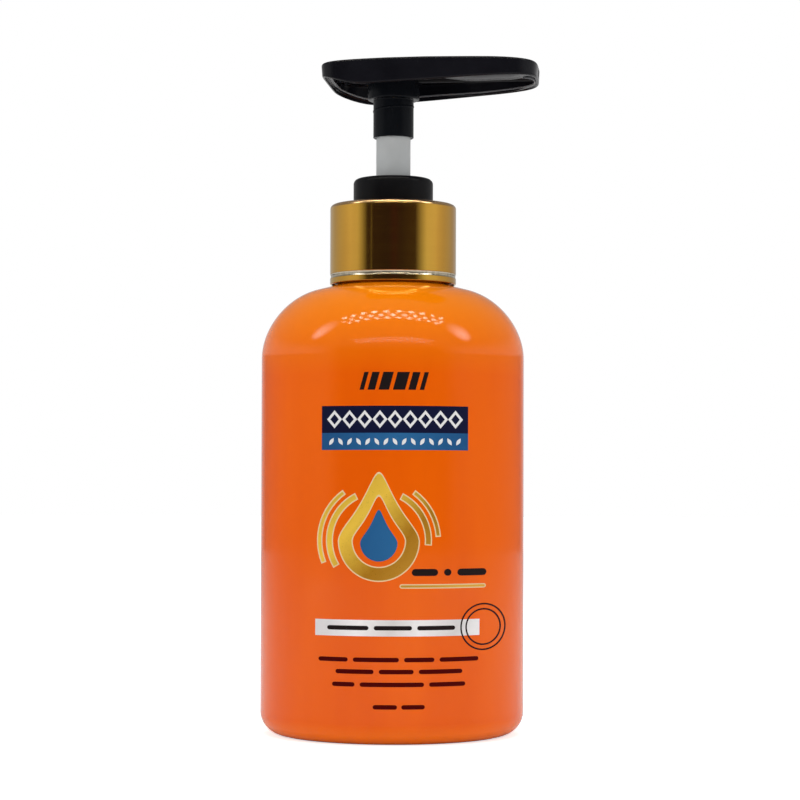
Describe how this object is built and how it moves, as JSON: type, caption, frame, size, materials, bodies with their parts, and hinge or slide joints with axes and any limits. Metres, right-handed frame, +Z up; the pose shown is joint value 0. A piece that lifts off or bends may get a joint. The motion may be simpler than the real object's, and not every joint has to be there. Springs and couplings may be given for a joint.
{
  "type": "sunscreen pump bottle",
  "caption": "Round-shouldered plastic lotion bottle with a metal-covered screw collar, a lock ring and a press-down pump head with a wide oval top and a side nozzle.",
  "frame": {"origin": "on the surface the bottle stands on, under the middle of the whole object's box; the bottle's axis is 1.92 mm towards -X, because the nozzle overhangs towards +X", "axes": "+Z up along the bottle's axis, +X towards the nozzle (the head is stored turned 6.5 degrees towards -Y, as pictured), -Y is the labelled front"},
  "size_m": [0.0678, 0.064, 0.1625],
  "materials": {
    "orange_body": "glossy moulded",
    "gold_shell": "bright gold anodised",
    "black_plastic": "glossy moulded",
    "natural_plastic": "natural translucent, satin",
    "gasket_rubber": "matte",
    "spring_steel": "bright drawn wire"
  },
  "bodies": {
    "bottle": {"bottle": "orange_body"},
    "pump_body": {"pump_housing": "natural_plastic", "lock_ring": "black_plastic", "gasket": "gasket_rubber", "dip_tube": "natural_plastic"},
    "collar": {"closure": "natural_plastic", "collar_shell": "gold_shell"},
    "spring": {"return_spring": "spring_steel"},
    "plunger": {"stem": "natural_plastic", "valve_rod": "natural_plastic", "pump_head": "black_plastic"},
    "piston": {"piston_seal": "natural_plastic"},
    "ball": {"check_ball": "spring_steel"}
  },
  "joints": [
    {"name": "pump_rise", "type": "slide", "parent": "bottle", "child": "pump_body", "axis": [0, 0, 1], "range_m": [0, 0.00635]},
    {"name": "collar_turn", "type": "hinge", "parent": "pump_body", "child": "collar", "pos_m": [-0.00192, 0, 0.12], "axis": [0, 0, 1], "range_deg": [0, 540]},
    {"name": "head_swivel", "type": "hinge", "parent": "pump_body", "child": "spring", "pos_m": [-0.00192, 0, 0.14], "axis": [0, 0, 1], "continuous": true},
    {"name": "pump_stroke", "type": "slide", "parent": "spring", "child": "plunger", "axis": [0, 0, -1], "range_m": [0, 0.0143], "stiffness_N_per_m": 500, "springref_m": -0.012, "deforming": ["return_spring"]},
    {"name": "piston_slip", "type": "slide", "parent": "plunger", "child": "piston", "axis": [0, 0, 1], "range_m": [0, 0.0012]},
    {"name": "ball_lift", "type": "slide", "parent": "pump_body", "child": "ball", "axis": [0, 0, 1], "range_m": [0, 0.0019]}
  ],
  "couplings": [
    {"joint": "collar_turn", "follows": "pump_rise", "rad_per_m": 1484.3}
  ]
}
